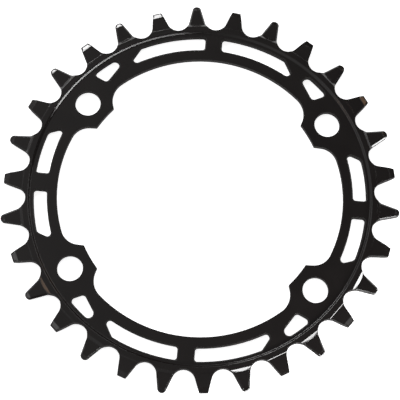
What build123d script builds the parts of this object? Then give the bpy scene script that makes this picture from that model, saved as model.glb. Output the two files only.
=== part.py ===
from build123d import *
import os
from itertools import pairwise
from math import asin, ceil, cos, hypot, pi, radians, sin, sqrt, tan

# Bicycle chainring with narrow and wide teeth in turn, cut from one plate.
# +Z points out of the front face and X runs along the longer side of the bolt rectangle.
# The origin is the centre of the bolt circle, on the back face of the lugs.
# Lengths are in millimetres and angles in degrees.

# Crank interface: four bolts on one circle, at equal angles either side of X
BOLT_CIRCLE = 96.0
BOLT_ANGLE = 35.0
BOLT_HOLE = 8.3
BOLT_WALL = 4.1

# Chain and tooth outline
CHAIN_PITCH = 12.7
SEAT_RADIUS = 3.7
SEAT_DROP = 0.7
FLANK_ANGLE = 15.1
NARROW_TIP_HEIGHT = 8.35
WIDE_TIP_HEIGHT = 7.25

# Thickness across the ring
BAND_THICKNESS = 3.5
WEB_THICKNESS = 2.2
WIDE_THICKNESS = 3.2
NARROW_THICKNESS = 2.0

# Foot of the teeth, measured outwards from the root of the gaps
TOOTH_FOOT = 1.0
NARROW_FOOT_RUN = 0.95
NARROW_FOOT_SAG = 0.55
WIDE_FOOT_RUN = 0.2

# Bevels along the flanks of the narrow teeth
FLANK_BEVEL = 0.45
FLANK_BEVEL_ANGLE = 45.0

# Bevels at the tips
NARROW_TIP_BEVEL = 1.4
WIDE_TIP_BEVEL = 1.7
TIP_BEVEL_ANGLE = 20.0

# Step from the tooth band down to the web, measured inwards from the root
STEP_INSET = 0.8
STEP_RUN = 0.55

# Inner edge, measured inwards from the bolt circle where it crosses X and Y.
# Each of its four arcs is round about a point that is shifted from the centre towards it.
INNER_INSET_X = 1.65
INNER_INSET_Y = 1.95
INNER_SHIFT_X = 4.0
INNER_SHIFT_Y = 1.3

# Lugs, with their blends into the arcs that cross X and Y
LUG_REACH = 7.3
LUG_END_WIDTH = 8.5
LUG_FLARE = 37.0
LUG_BLEND_X = 6.0
LUG_BLEND_Y = 7.0

# Lightening slots and windows, with their slanted ends placed from the nearest bolt
SLOT_RIM = 2.55
INNER_RAIL = 3.15
LONG_SPOKE = 5.6
SHORT_SPOKE = 5.8
LONG_END_ANGLE = 29.0
LONG_END_OFFSET = 3.55
SHORT_END_ANGLE = 70.7
SHORT_END_OFFSET = 6.3
WINDOW_SIDE_ANGLE = 32.5
WINDOW_SIDE_OFFSET = 0.35
WINDOW_FOOT_ANGLE = 114.3
WINDOW_FOOT_OFFSET = 9.4
SLOT_CORNER = 0.9
SLOT_END_CORNER = 1.1
SHORT_OUTER_CORNER = 2.0
WINDOW_CORNER = 1.2
WINDOW_TOP_CORNER = 1.55

# Edge break on the front of the slots and windows
SLOT_CHAMFER = 0.3

# How far cutting bodies stand past the surfaces that they cut
MARGIN = 0.1

# The ring has the fewest teeth, in narrow and wide pairs, that leave BOLT_WALL outside the bolt holes.
bolt_radius = BOLT_CIRCLE / 2
least_root = bolt_radius + BOLT_HOLE / 2 + BOLT_WALL
least_pitch_radius = least_root + SEAT_RADIUS + SEAT_DROP
tooth_count = 2 * ceil(pi / 2 / asin(CHAIN_PITCH / 2 / least_pitch_radius))
tooth_step = 360 / tooth_count
pitch_radius = CHAIN_PITCH / 2 / sin(radians(tooth_step / 2))
seat_centre = pitch_radius - SEAT_DROP
root_radius = seat_centre - SEAT_RADIUS

narrow_tip = root_radius + NARROW_TIP_HEIGHT
wide_tip = root_radius + WIDE_TIP_HEIGHT
foot_radius = root_radius + TOOTH_FOOT
step_outer = root_radius - STEP_INSET
step_inner = step_outer - STEP_RUN
slot_outer = root_radius - SLOT_RIM
inner_x_radius = bolt_radius - INNER_INSET_X - INNER_SHIFT_X
inner_y_radius = bolt_radius - INNER_INSET_Y - INNER_SHIFT_Y
slot_inner = bolt_radius - INNER_INSET_X + INNER_RAIL
lug_end = bolt_radius - LUG_REACH

# Heights above the middle plane of the plate
band_top = BAND_THICKNESS / 2
web_top = WEB_THICKNESS / 2
wide_top = WIDE_THICKNESS / 2
narrow_top = NARROW_THICKNESS / 2
cut_top = band_top + MARGIN

bolt_centre = Vector(bolt_radius, 0).rotate(Axis.Z, BOLT_ANGLE)

# Inner corner of a lug that points along +X, on its +Y side
lug_ear = Vector(sqrt(lug_end**2 - (LUG_END_WIDTH / 2) ** 2), LUG_END_WIDTH / 2)

# Flank of a tooth that points along +X: it leaves the roller seat at flank_foot, tangent to it.
flank_sin = sin(radians(FLANK_ANGLE))
flank_cos = cos(radians(FLANK_ANGLE))
flank_foot = Vector(
    seat_centre * cos(radians(tooth_step / 2)) - SEAT_RADIUS * flank_sin,
    seat_centre * sin(radians(tooth_step / 2)) - SEAT_RADIUS * flank_cos,
)

# Half of the width that is cut over a tooth, which ends in the middle of the gaps beside it
cut_half = seat_centre * sin(radians(tooth_step / 2))


def flip(point):
    """The same point on the other flank."""
    return Vector(point.X, -point.Y)


def narrow_outline():
    """Flanks and full round tip of a narrow tooth."""
    apex = flank_foot.X + flank_foot.Y * flank_cos / flank_sin
    radius = (apex - narrow_tip) * flank_sin / (1 - flank_sin)
    shoulder = Vector(narrow_tip - radius + radius * flank_sin, radius * flank_cos)
    return [
        Line(flip(flank_foot), flip(shoulder)),
        ThreePointArc(flip(shoulder), (narrow_tip, 0), shoulder),
        Line(shoulder, flank_foot),
    ]


def wide_outline():
    """Flanks and blunt tip of a wide tooth."""
    corner = Vector(wide_tip, flank_foot.Y - (wide_tip - flank_foot.X) * flank_sin / flank_cos)
    return [Line(start, end) for start, end in pairwise([
        flip(flank_foot), flip(corner), corner, flank_foot,
    ])]


def roller_seat():
    """Round root from the tooth on +X to the next one."""
    root = Vector(root_radius, 0).rotate(Axis.Z, tooth_step / 2)
    return ThreePointArc(flank_foot, root, flip(flank_foot).rotate(Axis.Z, tooth_step))


def toothed_outline():
    """Outer outline: narrow teeth at even steps from +X, wide teeth at odd steps."""
    edges = []
    for index in range(tooth_count):
        tooth = narrow_outline() if index % 2 == 0 else wide_outline()
        edges += [edge.rotate(Axis.Z, index * tooth_step) for edge in tooth + [roller_seat()]]
    return Face(Wire(edges))


def half_plane(angle, distance):
    """Large square on the near side of the line that faces angle at distance from the centre."""
    size = 4 * narrow_tip
    return Rot(0, 0, angle) * Pos(distance - size / 2, 0) * Rectangle(size, size)


def beyond_bolt(angle, offset):
    """Distance from the centre to the line that faces angle, offset beyond the bolt axis."""
    return bolt_centre.dot(Vector(1, 0).rotate(Axis.Z, angle)) + offset


def corners_at(shape, radius):
    """Corners of a shape that lie on a circle about the centre."""
    return shape.vertices().filter_by(lambda corner: abs(hypot(corner.X, corner.Y) - radius) < MARGIN)


def slot_band():
    return Circle(slot_outer) - Circle(slot_inner)


def long_slot():
    """Slot between the Y spoke and the lug, with a slanted end."""
    shape = slot_band() & half_plane(180, -LONG_SPOKE / 2) & half_plane(BOLT_ANGLE - 90, 0)
    shape &= half_plane(LONG_END_ANGLE, beyond_bolt(LONG_END_ANGLE, -LONG_END_OFFSET))
    shape = fillet(shape.vertices().sort_by(Axis.X)[-2:], SLOT_END_CORNER)
    return fillet(shape.vertices().sort_by(Axis.X)[:2], SLOT_CORNER)


def short_slot():
    """Slot between the X spoke and the lug, with a slanted end and one large outer corner."""
    shape = slot_band() & half_plane(-90, -SHORT_SPOKE / 2) & half_plane(BOLT_ANGLE + 90, 0)
    shape &= half_plane(SHORT_END_ANGLE, beyond_bolt(SHORT_END_ANGLE, -SHORT_END_OFFSET))
    shape = fillet(corners_at(shape, slot_outer).sort_by(Axis.Y)[-1], SHORT_OUTER_CORNER)
    shape = fillet(corners_at(shape, slot_inner).sort_by(Axis.Y)[-1], SLOT_END_CORNER)
    return fillet(shape.vertices().sort_by(Axis.Y)[:2], SLOT_CORNER)


def window():
    """Rounded triangle between the long slot and the lug."""
    shape = Circle(slot_outer)
    shape &= half_plane(WINDOW_SIDE_ANGLE + 180, -beyond_bolt(WINDOW_SIDE_ANGLE, -WINDOW_SIDE_OFFSET))
    shape &= half_plane(WINDOW_FOOT_ANGLE + 180, -beyond_bolt(WINDOW_FOOT_ANGLE, WINDOW_FOOT_OFFSET))
    shape = fillet(shape.vertices().sort_by(Axis.Y)[-1], WINDOW_TOP_CORNER)
    return fillet(shape.vertices().sort_by(Axis.Y)[:2], WINDOW_CORNER)


def lug():
    """Flared lug on +X, with its end on a circle about the centre."""
    side = Vector(LUG_REACH, 0).rotate(Axis.Z, LUG_FLARE)
    start = lug_ear - side
    stop = lug_ear + side * 2
    return Polygon(flip(start), flip(stop), stop, start, align=None) - Circle(lug_end)


def lug_blend(radius, edge_radius, edge_centre):
    """Blend from the +Y side of a lug on +X into an arc of the inner edge, as large as its side allows."""
    along = Vector(1, 0).rotate(Axis.Z, LUG_FLARE)
    across = Vector(0, 1).rotate(Axis.Z, LUG_FLARE)
    start = lug_ear + along * MARGIN - edge_centre
    room = (edge_radius**2 - start.dot(start)) / (edge_radius + start.dot(across)) / 2
    return min(radius, room)


def centre_opening():
    """Opening for the crank, with the four lugs left standing and blended into its edge."""
    x_centre = Vector(INNER_SHIFT_X, 0)
    y_centre = Vector(0, INNER_SHIFT_Y)
    x_part = Pos(x_centre) * Circle(inner_x_radius)
    x_part &= half_plane(90, bolt_centre.Y) & half_plane(-90, bolt_centre.Y)
    y_part = Pos(y_centre) * Circle(inner_y_radius) & half_plane(-90, -bolt_centre.Y)
    shape = x_part + mirror(x_part, Plane.YZ) + y_part + mirror(y_part, Plane.XZ)
    for angle in (BOLT_ANGLE, 180 - BOLT_ANGLE, 180 + BOLT_ANGLE, -BOLT_ANGLE):
        shape -= Rot(0, 0, angle) * lug()
    x_joints = shape.vertices().filter_by(lambda corner: abs(corner.X) > bolt_centre.X)
    shape = fillet(x_joints, lug_blend(LUG_BLEND_X, inner_x_radius, x_centre.rotate(Axis.Z, BOLT_ANGLE)))
    y_joints = shape.vertices().filter_by(lambda corner: abs(corner.Y) > bolt_centre.Y)
    return fillet(y_joints, lug_blend(LUG_BLEND_Y, inner_y_radius, y_centre.rotate(Axis.Z, -BOLT_ANGLE)))


def four_ways(shape):
    """The shape and its reflections in the X and Y axes."""
    pair = shape + mirror(shape, Plane.YZ)
    return pair + mirror(pair, Plane.XZ)


def through_plate(outline):
    """An outline carried through the full thickness of the plate."""
    return extrude(Pos(0, 0, -band_top) * outline, BAND_THICKNESS)


def web_recess():
    """Space above the web: a flat disc whose bevelled edge rises to the band."""
    spread = MARGIN * STEP_RUN / (band_top - web_top)
    profile = Polygon(
        (0, web_top),
        (step_inner, web_top),
        (step_outer + spread, cut_top),
        (0, cut_top),
        align=None,
    )
    return revolve(Plane.XZ * profile, Axis.Z)


def tip_slope(tip, top, bevel):
    """Section above the tip of a tooth: its bevel, carried on past the tip, and the way up from there."""
    stop = tip + MARGIN
    stop_top = top - (bevel + MARGIN) * tan(radians(TIP_BEVEL_ANGLE))
    return [(tip - bevel, top), (stop, stop_top), (stop, cut_top)]


def wide_cutter():
    """Space above a wide tooth on +X, with a small step at its foot and a bevel at its tip."""
    spread = MARGIN * WIDE_FOOT_RUN / (band_top - wide_top)
    profile = Polygon(
        (foot_radius - spread, cut_top),
        (foot_radius + WIDE_FOOT_RUN, wide_top),
        *tip_slope(wide_tip, wide_top, WIDE_TIP_BEVEL),
        align=None,
    )
    return extrude(Plane.XZ * profile, cut_half, both=True)


def flank_cutter():
    """Prism that bevels the upper flank of a narrow tooth on +X, from inside the foot to past the tip."""
    along = Vector(flank_cos, -flank_sin)
    outwards = Vector(flank_sin, flank_cos)
    fall = 2 * FLANK_BEVEL * tan(radians(FLANK_BEVEL_ANGLE))
    section = Polygon((-FLANK_BEVEL, 0), (FLANK_BEVEL, -fall), (FLANK_BEVEL, 0), align=None)
    start = flank_foot - along * SEAT_RADIUS + Vector(0, 0, narrow_top)
    return extrude(Plane(start, x_dir=outwards, z_dir=along) * section, SEAT_RADIUS + NARROW_TIP_HEIGHT)


def narrow_foot(depth):
    """Section of the slope at the foot of a narrow tooth, bowed more with depth below the band."""
    share = depth / (band_top - narrow_top)
    middle = (foot_radius + NARROW_FOOT_RUN * share, 0)
    side = Vector(foot_radius + (NARROW_FOOT_RUN - NARROW_FOOT_SAG) * share, cut_half)
    back = Vector(slot_outer, cut_half)
    outline = ThreePointArc(flip(side), middle, side) + Polyline(side, back, flip(back), flip(side))
    return Pos(0, 0, band_top - depth) * make_face(outline)


def narrow_cutter():
    """Space above a narrow tooth on +X, with bevels at its flanks and tip and a slope at its foot."""
    profile = Polygon(
        (slot_outer, cut_top),
        (slot_outer, narrow_top),
        *tip_slope(narrow_tip, narrow_top, NARROW_TIP_BEVEL),
        align=None,
    )
    flank = flank_cutter()
    foot = loft([narrow_foot(-MARGIN), narrow_foot(band_top)], ruled=True)
    return extrude(Plane.XZ * profile, cut_half, both=True) + flank + mirror(flank, Plane.XZ) - foot


def both_faces(cutter):
    return [cutter, mirror(cutter, Plane.XY)]


def chamfered_slots(plate):
    """The plate with the front edges of its slots broken."""
    edges = plate.edges().filter_by_position(Axis.Z, web_top - MARGIN, web_top + MARGIN)
    slot_edges = edges.filter_by(lambda edge: hypot(edge.center().X, edge.center().Y) < slot_outer + MARGIN)
    return chamfer(slot_edges, SLOT_CHAMFER)


def chainring():
    slots = four_ways(long_slot() + short_slot() + window())
    bolt_holes = four_ways(Pos(bolt_centre) * Circle(BOLT_HOLE / 2))
    plate = through_plate(toothed_outline() - slots) - both_faces(web_recess())
    plate = chamfered_slots(plate) - through_plate(centre_opening() + bolt_holes)
    narrow_cuts = both_faces(narrow_cutter())
    wide_cuts = both_faces(wide_cutter())
    cuts = []
    for index in range(tooth_count):
        tooth_cuts = narrow_cuts if index % 2 == 0 else wide_cuts
        cuts += [Rot(0, 0, index * tooth_step) * cut for cut in tooth_cuts]
    return Pos(0, 0, web_top) * (plate - cuts)


ring = chainring()
ring.label = "chainring"
ring.color = Color(0.02, 0.018, 0.018)

os.makedirs("parts", exist_ok=True)
export_step(ring, "parts/chainring.step")
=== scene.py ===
from math import copysign, cos, pi, radians, sin, tan
from typing import NamedTuple

import bmesh
import bpy
import numpy as np
from bpy.props import FloatProperty, FloatVectorProperty, PointerProperty
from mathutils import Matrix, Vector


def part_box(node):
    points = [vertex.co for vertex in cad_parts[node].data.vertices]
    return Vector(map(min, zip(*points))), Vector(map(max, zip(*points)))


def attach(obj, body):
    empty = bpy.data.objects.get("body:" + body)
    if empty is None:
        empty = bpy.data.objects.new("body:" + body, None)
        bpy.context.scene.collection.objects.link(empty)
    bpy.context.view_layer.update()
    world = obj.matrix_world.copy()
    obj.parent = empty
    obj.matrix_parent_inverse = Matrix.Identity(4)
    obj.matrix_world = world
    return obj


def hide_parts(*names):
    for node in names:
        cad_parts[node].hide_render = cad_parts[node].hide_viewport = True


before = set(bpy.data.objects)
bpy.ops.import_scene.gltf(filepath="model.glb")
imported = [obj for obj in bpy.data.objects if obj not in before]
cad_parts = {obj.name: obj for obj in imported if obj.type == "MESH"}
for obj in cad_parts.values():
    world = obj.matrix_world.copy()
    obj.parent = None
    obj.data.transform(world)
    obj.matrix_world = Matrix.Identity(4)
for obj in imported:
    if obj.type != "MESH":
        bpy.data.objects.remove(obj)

bl_info = {
    "name": "Chainring looks",
    "version": (1, 0, 0),
    "blender": (4, 5, 0),
    "location": "3D View > Sidebar > Chainring",
    "description": "Coats a bicycle chainring and sets it on a white studio floor",
    "category": "Object",
}

MM = 0.001
RING = "chainring"
BODY = "root"

# Points of the mesh nearer than this are merged, and faces that turn by less than this are joined
MERGE_DISTANCE = 0.001 * MM
FLAT_ANGLE = radians(0.5)

# The upright part of a tip bevel's normal lies between these
TIP_UPRIGHT = (0.9, 0.98)

SOFT_EDGE_SEGMENTS = 3

# Sizes in the coating, in millimetres. The real orange peel is finer than the grain here,
# which is drawn coarser so that it shows.
CLOUD_SIZE = 9
GRAIN_SIZE = 0.5
PEEL_DEPTH = 0.01
PEEL_STRENGTH = 0.15
COATING_IOR = 1.5

# Part of the noise's range that is spread over the range of the roughness
CLOUD_RANGE = (0.3, 0.7)

# Where the upright part of a normal is under the first number the surface is a sheared wall, and over
# the second it is a coated face. Inside the step both numbers rise, so that the chamfers count as walls.
WALL_RANGE = (0.15, 0.4)
WALL_RISE_INSIDE = 0.57

PAPER_ROUGHNESS = 0.9

# Sideways part of the direction over which the room passes from its left side to its right side
ROOM_BLEND = (-0.3, 0.15)

SENSOR_WIDTH = 36
CLIP_START = 0.01


class Softbox(NamedTuple):
    """Upright lamp that faces the ring, with angles in degrees as seen from the ring's centre."""

    name: str
    azimuth: float
    lowest: float
    highest: float
    width: float
    share: float  # of the studio's brightness
    roll: float = 0
    warm: bool = False
    distance: float = 0.6


# Each softbox stands where the bevels, feet or faces of the ring mirror it towards the camera.
# The front one is near, so that seen from behind only the far side of the ring mirrors it.
SOFTBOXES = (
    Softbox("front_softbox", -44, 9.6, 14.7, 66, 1.5, roll=6, distance=0.13),
    Softbox("back_softbox", 118.5, 26.2, 32.4, 34.5, 1.25, roll=-10.5),
    Softbox("right_softbox", 48.5, 26, 36, 13, 1 / 10, warm=True),
    Softbox("low_softbox", -155.5, 10.5, 15, 12, 1 / 10, warm=True),
    Softbox("high_left_softbox", -160, 40, 51, 40, 1 / 14),
    Softbox("high_front_softbox", -21, 41, 51, 16, 1 / 14),
    Softbox("high_right_softbox", 48, 45, 57, 60, 1 / 5),
    Softbox("high_back_softbox", 128, 45, 57, 70, 1 / 12),
)


def linear(colour):
    """Linear colour of an sRGB hex value such as #1f1b1b."""
    srgb = np.array([int(colour[start:start + 2], 16) for start in (1, 3, 5)]) / 255
    return np.where(srgb <= 0.04045, srgb / 12.92, ((srgb + 0.055) / 1.055) ** 2.4).tolist()


class RingFinish(bpy.types.PropertyGroup):
    """Coating of the ring and the softness of its edges."""

    hole_round: FloatProperty(
        name="Hole round", description="Width of the soft edge round the holes and the opening",
        default=0.1 * MM, min=0, unit="LENGTH", precision=5)
    step_round: FloatProperty(
        name="Step round", description="Width of the soft edges of the step",
        default=0.16 * MM, min=0, unit="LENGTH", precision=5)
    tooth_round: FloatProperty(
        name="Tooth round", description="Width of the soft edge of the teeth",
        default=0.04 * MM, min=0, unit="LENGTH", precision=5)
    tip_rim: FloatProperty(
        name="Tip rim", description="Width of the steep rim at the end of each tooth",
        default=0.46 * MM, min=0, unit="LENGTH", precision=5)
    tip_drop: FloatProperty(
        name="Tip drop", description="How far the end of each tooth is lowered to make its rim steep",
        default=0.11 * MM, min=0, unit="LENGTH", precision=5)
    tips_from: FloatProperty(
        name="Tips from", description="Radius at which the bevels of the tips begin",
        default=62 * MM, min=0, unit="LENGTH")
    step_from: FloatProperty(
        name="Step from", description="Radius at which the edges of the step begin",
        default=54.5 * MM, min=0, unit="LENGTH")
    teeth_from: FloatProperty(
        name="Teeth from", description="Radius at which the edges of the teeth begin",
        default=56 * MM, min=0, unit="LENGTH")
    sharp_from: FloatProperty(
        name="Sharp from", description="Edges that turn by more than this are softened",
        default=radians(18), subtype="ANGLE")
    colour: FloatVectorProperty(
        name="Coating", description="Colour of the coating",
        default=linear("#141111"), size=3, min=0, max=1, subtype="COLOR")
    thin_colour: FloatVectorProperty(
        name="Thin coating", description="Colour of the coating where it lies thinner",
        default=linear("#1b1817"), size=3, min=0, max=1, subtype="COLOR")
    gloss: FloatProperty(
        name="Roughness", description="Roughness of the coating on its smoothest spots",
        default=0.1, min=0, max=1, subtype="FACTOR")
    dull: FloatProperty(
        name="Roughness of dull spots", description="Roughness of the coating on its dullest spots",
        default=0.16, min=0, max=1, subtype="FACTOR")
    wall_dull: FloatProperty(
        name="Roughness of walls", description="Roughness of the coating on sheared walls",
        default=1.0, min=0, max=1, subtype="FACTOR")


class Studio(bpy.types.PropertyGroup):
    """Floor, lamps and camera."""

    floor_size: FloatProperty(
        name="Floor", description="Side of the floor", default=6.0, unit="LENGTH")
    floor_colour: FloatVectorProperty(
        name="Floor colour", description="Colour of the floor",
        default=linear("#f4f4f4"), size=3, min=0, max=1, subtype="COLOR")
    floor_glow: FloatProperty(
        name="Floor glow", description="White that the floor shows besides the light on it",
        default=0.85, min=0)
    room: FloatProperty(
        name="Room", description="Brightness of the room at the right", default=0.05, min=0)
    room_left: FloatProperty(
        name="Room at the left", description="Brightness of the room at the left",
        default=0.5, min=0)
    brightness: FloatProperty(
        name="Softboxes", description="Radiance of the softboxes, where 1 is white",
        default=20.0, min=0)
    warm: FloatVectorProperty(
        name="Warm light", description="Colour of the two small dim softboxes",
        default=linear("#ffd0a8"), size=3, min=0, max=1, subtype="COLOR")
    lens: FloatProperty(
        name="Lens", description="Focal length of the camera", default=131.83, unit="CAMERA")
    eye: FloatVectorProperty(
        name="Eye", description="Place of the camera",
        default=(1.607 * MM, -109.898 * MM, 462.353 * MM), size=3, subtype="TRANSLATION")
    turn: FloatVectorProperty(
        name="Turn", description="Turn of the camera",
        default=(radians(13.2144), radians(-0.9840), radians(4.9941)), size=3, subtype="EULER")


def add_node(tree, kind, inputs=(), **settings):
    """Adds a node, gives it its settings, and links or sets its inputs by name or number."""
    node = tree.nodes.new("ShaderNode" + kind)
    for name, value in settings.items():
        setattr(node, name, value)
    for key, value in dict(inputs).items():
        if isinstance(value, bpy.types.NodeSocket):
            tree.links.new(value, node.inputs[key])
        else:
            node.inputs[key].default_value = value
    return node


def new_material(name):
    """An empty node material, with its tree and its output."""
    material = bpy.data.materials.new(name)
    material.use_nodes = True
    tree = material.node_tree
    tree.nodes.clear()
    return material, tree, add_node(tree, "OutputMaterial")


def per_mm(size):
    """Noise scale for spots of that size in millimetres, on coordinates in metres."""
    return 1 / (size * MM)


def black_coating(finish):
    """Black electrocoat on sheared and machined steel.

    The eye sees a deep, slightly warm black with clear reflections that a faint orange peel unsettles,
    cloudy spots where the coat lies thinner and duller, and matt walls where the metal was sheared.
    """
    material, tree, output = new_material("black_electrocoat")
    place = add_node(tree, "TexCoord").outputs["Object"]
    clouds = add_node(tree, "TexNoise", {
        "Vector": place, "Scale": per_mm(CLOUD_SIZE), "Detail": 3}).outputs[0]
    grain = add_node(tree, "TexNoise", {
        "Vector": place, "Scale": per_mm(GRAIN_SIZE), "Detail": 2}).outputs[0]
    tint = add_node(tree, "Mix", {
        "Factor": clouds, "A": (*finish.colour, 1), "B": (*finish.thin_colour, 1)},
        data_type="RGBA").outputs[2]
    face_rough = add_node(tree, "MapRange", {
        "Value": clouds, "From Min": CLOUD_RANGE[0], "From Max": CLOUD_RANGE[1],
        "To Min": finish.gloss, "To Max": finish.dull}).outputs[0]

    # Share of sheared wall, from the normal and the distance from the ring's axis
    normal = add_node(tree, "NewGeometry").outputs["Normal"]
    height = add_node(tree, "SeparateXYZ", {0: normal}).outputs["Z"]
    upright = add_node(tree, "Math", {0: height}, operation="ABSOLUTE").outputs[0]
    across = add_node(tree, "VectorMath", {0: place, 1: (1, 1, 0)}, operation="MULTIPLY").outputs[0]
    reach = add_node(tree, "VectorMath", {0: across}, operation="LENGTH").outputs["Value"]
    inside = add_node(tree, "Math", {0: reach, 1: finish.step_from}, operation="LESS_THAN").outputs[0]
    level = add_node(tree, "Math", {
        0: inside, 1: -WALL_RISE_INSIDE, 2: upright}, operation="MULTIPLY_ADD").outputs[0]
    wall = add_node(tree, "MapRange", {
        "Value": level, "From Min": WALL_RANGE[0], "From Max": WALL_RANGE[1],
        "To Min": 1.0, "To Max": 0.0}).outputs[0]
    rough = add_node(tree, "Mix", {
        0: wall, 2: face_rough, 3: finish.wall_dull}, data_type="FLOAT").outputs[0]

    peel = add_node(tree, "Bump", {
        "Height": grain, "Strength": PEEL_STRENGTH, "Distance": PEEL_DEPTH * MM}).outputs[0]
    shader = add_node(tree, "BsdfPrincipled", {
        "Base Color": tint, "Roughness": rough, "IOR": COATING_IOR, "Normal": peel})
    tree.links.new(shader.outputs[0], output.inputs["Surface"])
    return material


def white_paper(studio):
    """Matt white backdrop paper, an even white without highlights that still takes shadows."""
    material, tree, output = new_material("white_paper")
    path = add_node(tree, "LightPath").outputs
    seen = add_node(tree, "Math", {
        0: path["Is Camera Ray"], 1: path["Is Glossy Ray"]}, operation="MAXIMUM").outputs[0]
    seen = add_node(tree, "Math", {
        0: seen, 1: path["Is Transmission Ray"]}, operation="MAXIMUM").outputs[0]
    glow = add_node(tree, "Math", {0: seen, 1: studio.floor_glow}, operation="MULTIPLY").outputs[0]
    shader = add_node(tree, "BsdfPrincipled", {
        "Base Color": (*studio.floor_colour, 1), "Roughness": PAPER_ROUGHNESS,
        "Specular IOR Level": 0.0, "Emission Color": (1, 1, 1, 1), "Emission Strength": glow})
    tree.links.new(shader.outputs[0], output.inputs["Surface"])
    return material


def steepen_rims(shape, finish):
    """Insets the bevel at each tip and lowers its end towards the middle plane, for a steep rim.

    The edges between the bevels and their rims are left sharp. Returns the edges that meet them.
    """
    heights = [vertex.co.z for vertex in shape.verts]
    middle = (min(heights) + max(heights)) / 2
    steepest, flattest = TIP_UPRIGHT
    tips = [face for face in shape.faces
            if steepest < abs(face.normal.z) < flattest
            and face.calc_center_median().xy.length > finish.tips_from]
    ends = []
    for face in tips:
        reach = max(vertex.co.xy.length for vertex in face.verts)
        ends += [vertex for vertex in face.verts if vertex.co.xy.length > reach - finish.tip_rim]
    bmesh.ops.inset_individual(shape, faces=tips, thickness=finish.tip_rim, use_even_offset=True)
    for vertex in ends:
        vertex.co.z -= copysign(finish.tip_drop, vertex.co.z - middle)
    shape.normal_update()
    for face in tips:
        for edge in face.edges:
            edge.smooth = False
    return {edge for face in tips for vertex in face.verts for edge in vertex.link_edges}


def edge_width(edge, finish):
    """Width of the soft edge: none where it hardly turns, else by its distance from the axis."""
    if edge.calc_face_angle(0) < finish.sharp_from:
        return 0
    reach = min(vertex.co.xy.length for vertex in edge.verts)
    if reach > finish.teeth_from:
        return finish.tooth_round
    return finish.step_round if reach > finish.step_from else finish.hole_round


def ring_mesh(finish):
    """Merged copy of the ring's solid with rims at its tips and the width of each soft edge as a weight.

    Returns the mesh and the greatest width, which a weight of 1 stands for.
    """
    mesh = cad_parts[RING].data.copy()
    shape = bmesh.new()
    shape.from_mesh(mesh)
    bmesh.ops.remove_doubles(shape, verts=shape.verts, dist=MERGE_DISTANCE)
    bmesh.ops.dissolve_limit(shape, angle_limit=FLAT_ANGLE, verts=shape.verts, edges=shape.edges)
    rims = steepen_rims(shape, finish)
    widths = [0 if edge in rims else edge_width(edge, finish) for edge in shape.edges]
    widest = max(widths)
    weights = shape.edges.layers.float.new("bevel_weight_edge")
    for edge, width in zip(shape.edges, widths):
        edge[weights] = width / widest
    shape.to_mesh(mesh)
    shape.free()
    return mesh, widest


class CHAINRING_OT_ring(bpy.types.Operator):
    """Softens the edges of the ring and coats it."""

    bl_idname = "chainring.ring"
    bl_label = "Coat the ring"

    def execute(self, context):
        finish = context.scene.ring_finish
        mesh, widest = ring_mesh(finish)
        mesh.materials.clear()
        mesh.materials.append(black_coating(finish))
        mesh.shade_smooth()
        ring = bpy.data.objects.new("coated_ring", mesh)
        context.collection.objects.link(ring)
        soft = ring.modifiers.new("soft_edges", "BEVEL")
        soft.width = widest
        soft.segments = SOFT_EDGE_SEGMENTS
        soft.limit_method = "WEIGHT"
        soft.use_clamp_overlap = False
        soft.loop_slide = False
        flat = ring.modifiers.new("flat_faces", "WEIGHTED_NORMAL")
        flat.mode = "FACE_AREA"
        flat.keep_sharp = True
        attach(ring, BODY)
        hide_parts(RING)
        return {"FINISHED"}


def add_floor(context):
    """Square floor at the height of the ring's lowest point."""
    studio = context.scene.studio
    half = studio.floor_size / 2
    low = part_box(RING)[0].z
    mesh = bpy.data.meshes.new("floor")
    corners = [(-half, -half, low), (half, -half, low), (half, half, low), (-half, half, low)]
    mesh.from_pydata(corners, [], [(0, 1, 2, 3)])
    mesh.materials.append(white_paper(studio))
    floor = bpy.data.objects.new("floor", mesh)
    context.collection.objects.link(floor)


def add_softbox(context, box):
    """Area lamp of a softbox. Its power is its radiance times pi times its area."""
    studio = context.scene.studio
    bottom, top = (box.distance * tan(radians(angle)) for angle in (box.lowest, box.highest))
    light = bpy.data.lights.new(box.name, "AREA")
    light.shape = "RECTANGLE"
    light.size = 2 * box.distance * tan(radians(box.width / 2))
    light.size_y = top - bottom
    light.energy = box.share * studio.brightness * pi * light.size * light.size_y
    if box.warm:
        light.color = studio.warm
    lamp = bpy.data.objects.new(box.name, light)
    turn = radians(box.azimuth)
    lamp.location = (box.distance * cos(turn), box.distance * sin(turn), (bottom + top) / 2)
    lamp.rotation_euler = (radians(90), radians(box.roll), turn + radians(90))
    lamp.visible_camera = False
    context.collection.objects.link(lamp)


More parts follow.
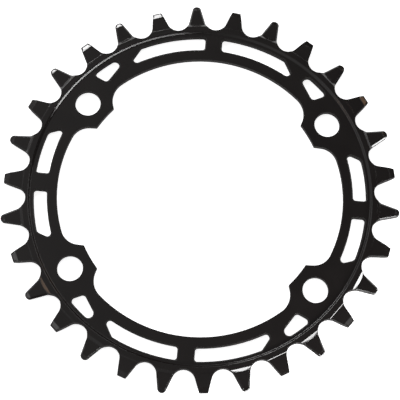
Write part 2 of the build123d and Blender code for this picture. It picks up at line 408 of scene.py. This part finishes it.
def add_room(context):
    """Dim white room round the stage, brighter at its left."""
    studio = context.scene.studio
    world = bpy.data.worlds.new("studio_room")
    world.use_nodes = True
    tree = world.node_tree
    tree.nodes.clear()
    direction = add_node(tree, "TexCoord").outputs["Generated"]
    across = add_node(tree, "SeparateXYZ", {0: direction}).outputs["X"]
    strength = add_node(tree, "MapRange", {
        "Value": across, "From Min": ROOM_BLEND[0], "From Max": ROOM_BLEND[1],
        "To Min": studio.room_left, "To Max": studio.room}).outputs[0]
    back = add_node(tree, "Background", {"Color": (1, 1, 1, 1), "Strength": strength})
    output = add_node(tree, "OutputWorld")
    tree.links.new(back.outputs[0], output.inputs["Surface"])
    context.scene.world = world


def add_camera(context):
    """Camera that looks down on the ring."""
    studio = context.scene.studio
    lens = bpy.data.cameras.new("camera")
    lens.lens = studio.lens
    lens.sensor_width = SENSOR_WIDTH
    lens.clip_start = CLIP_START
    camera = bpy.data.objects.new("camera", lens)
    camera.location = studio.eye
    camera.rotation_euler = studio.turn
    context.collection.objects.link(camera)
    context.scene.camera = camera


class CHAINRING_OT_stage(bpy.types.Operator):
    """Sets the floor, the lamps, the room and the camera."""

    bl_idname = "chainring.stage"
    bl_label = "Set the stage"

    def execute(self, context):
        add_floor(context)
        for box in SOFTBOXES:
            add_softbox(context, box)
        add_room(context)
        add_camera(context)
        context.scene.view_settings.view_transform = "Standard"
        return {"FINISHED"}


class CHAINRING_PT_looks(bpy.types.Panel):
    """Lists the sizes, the colours and the steps."""

    bl_idname = "CHAINRING_PT_looks"
    bl_label = "Chainring"
    bl_space_type = "VIEW_3D"
    bl_region_type = "UI"
    bl_category = "Chainring"

    def draw(self, context):
        for group in (context.scene.ring_finish, context.scene.studio):
            box = self.layout.box()
            for name in group.__annotations__:
                box.prop(group, name)
        for operator in OPERATORS:
            self.layout.operator(operator.bl_idname)


OPERATORS = (CHAINRING_OT_ring, CHAINRING_OT_stage)
CLASSES = (RingFinish, Studio, *OPERATORS, CHAINRING_PT_looks)


def register():
    for cls in CLASSES:
        bpy.utils.register_class(cls)
    bpy.types.Scene.ring_finish = PointerProperty(type=RingFinish)
    bpy.types.Scene.studio = PointerProperty(type=Studio)


def unregister():
    del bpy.types.Scene.studio
    del bpy.types.Scene.ring_finish
    for cls in reversed(CLASSES):
        bpy.utils.unregister_class(cls)


def main():
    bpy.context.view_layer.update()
    register()
    bpy.ops.chainring.ring()
    bpy.ops.chainring.stage()


if __name__ == "__main__":
    main()
